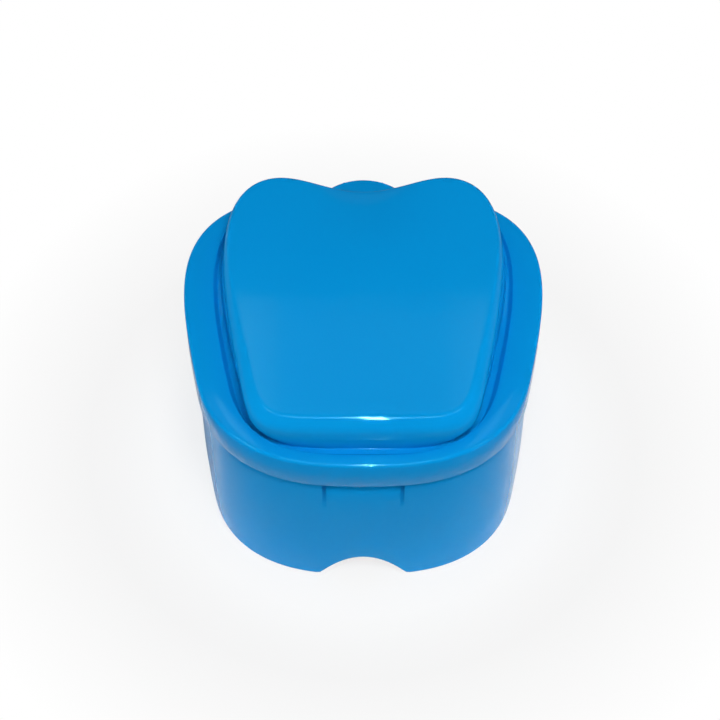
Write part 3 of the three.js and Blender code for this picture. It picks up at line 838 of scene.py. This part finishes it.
# painted light and shade on the floor: its colour turns from pale to dark between two distances from its
# middle, for the box's sides to mirror; between two others the camera sees it turn from mostly to wholly
# white
floorLook = {
    "radius": 4, "sides": 96, "rough": 0.9,
    "nearPaintedLight": (0.82, 0.82, 0.8), "farPaintedShade": (0.32, 0.32, 0.32), "paintedLightNear": 0.058, "paintedLightFar": 0.077,
    "whiteNear": 0.05, "whiteFar": 0.12, "whiteLeast": 0.8,
}


def addCamera():
    place = cameraPlace
    camera = bpy.data.cameras.new("camera")
    camera.sensor_width = place["sensor"]
    camera.lens = place["lens"]
    camera.shift_x = place["shiftX"]
    camera.shift_y = place["shiftY"]
    camera.clip_start = place["nearest"]
    holder = bpy.data.objects.new("camera", camera)
    tilt = math.radians(place["elevation"])
    back = Vector((0, -math.cos(tilt), math.sin(tilt)))
    holder.location = Vector(place["target"]) + back * place["distance"]
    holder.rotation_euler = (math.pi / 2 - tilt, 0, 0)
    bpy.context.scene.collection.objects.link(holder)
    bpy.context.scene.camera = holder


def addLamp(name, lamp):
    light = bpy.data.lights.new(name, "AREA")
    light.shape = "RECTANGLE"
    light.size, light.size_y = lamp["size"]
    light.energy = lamp["watts"]
    holder = bpy.data.objects.new(name, light)
    holder.location = lamp["at"]
    aim = Vector(lamp["aim"]) - Vector(lamp["at"])
    holder.rotation_euler = aim.to_track_quat("-Z", "Y").to_euler()
    holder.visible_diffuse = name in softLamps
    holder.visible_glossy = name not in softLamps
    bpy.context.scene.collection.objects.link(holder)


def addMix(nodes, links, share, first, second):
    mix = nodes.new("ShaderNodeMixShader")
    links.new(share, mix.inputs["Fac"])
    links.new(first, mix.inputs[1])
    links.new(second, mix.inputs[2])
    return mix.outputs["Shader"]


def addWorld():
    # an even light all round; gloss shows it dim and the camera sees plain white
    world = bpy.data.worlds.new("studio")
    bpy.context.scene.world = world
    world.use_nodes = True
    nodes, links = world.node_tree.nodes, world.node_tree.links
    nodes.clear()
    rays = nodes.new("ShaderNodeLightPath").outputs

    def background(colour, strength):
        node = nodes.new("ShaderNodeBackground")
        node.inputs["Color"].default_value = (*colour, 1)
        node.inputs["Strength"].default_value = strength
        return node.outputs["Background"]

    room = addMix(nodes, links, rays["Is Glossy Ray"], background((1, 1, 1), roomLook["light"]),
                  background(roomLook["glossTint"], roomLook["gloss"]))
    direct = addMath(nodes, links, "MAXIMUM", rays["Is Camera Ray"], rays["Is Transmission Ray"])
    seen = addMix(nodes, links, direct, room, background((1, 1, 1), 1.0))
    links.new(seen, nodes.new("ShaderNodeOutputWorld").inputs["Surface"])


def addFloor():
    look = floorLook
    bm = bmesh.new()
    bmesh.ops.create_circle(bm, cap_ends=True, segments=look["sides"], radius=look["radius"])
    mesh = bpy.data.meshes.new("studioFloor")
    bm.to_mesh(mesh)
    bm.free()
    floor = bpy.data.objects.new("studioFloor", mesh)
    bpy.context.scene.collection.objects.link(floor)
    material, nodes, links, shader = newMaterial("paleFloor")
    shader.inputs["Roughness"].default_value = look["rough"]
    shader.inputs["Specular IOR Level"].default_value = 0
    rays = nodes.new("ShaderNodeLightPath").outputs
    coords = nodes.new("ShaderNodeTexCoord")
    length = nodes.new("ShaderNodeVectorMath")
    length.operation = "LENGTH"
    links.new(coords.outputs["Object"], length.inputs[0])
    distance = length.outputs["Value"]

    # painted light on the floor: paler close to the box and dark further out, as the box's sides mirror it
    change = addRange(nodes, links, distance, look["paintedLightNear"], look["paintedLightFar"])
    tint = addTint(nodes, links, change, look["nearPaintedLight"], look["farPaintedShade"])
    links.new(tint, shader.inputs["Base Color"])

    fade = addRange(nodes, links, distance, look["whiteNear"], look["whiteFar"], look["whiteLeast"])
    direct = addMath(nodes, links, "MAXIMUM", rays["Is Camera Ray"], rays["Is Transmission Ray"])
    share = addMath(nodes, links, "MULTIPLY", direct, fade)
    white = nodes.new("ShaderNodeEmission").outputs["Emission"]
    seen = addMix(nodes, links, share, shader.outputs["BSDF"], white)
    links.new(seen, nodes["Material Output"].inputs["Surface"])
    mesh.materials.append(material)


addCamera()
for name, lamp in lamps.items():
    addLamp(name, lamp)
addWorld()
addFloor()
bpy.context.scene.view_settings.view_transform = "Standard"
print("studio ready")
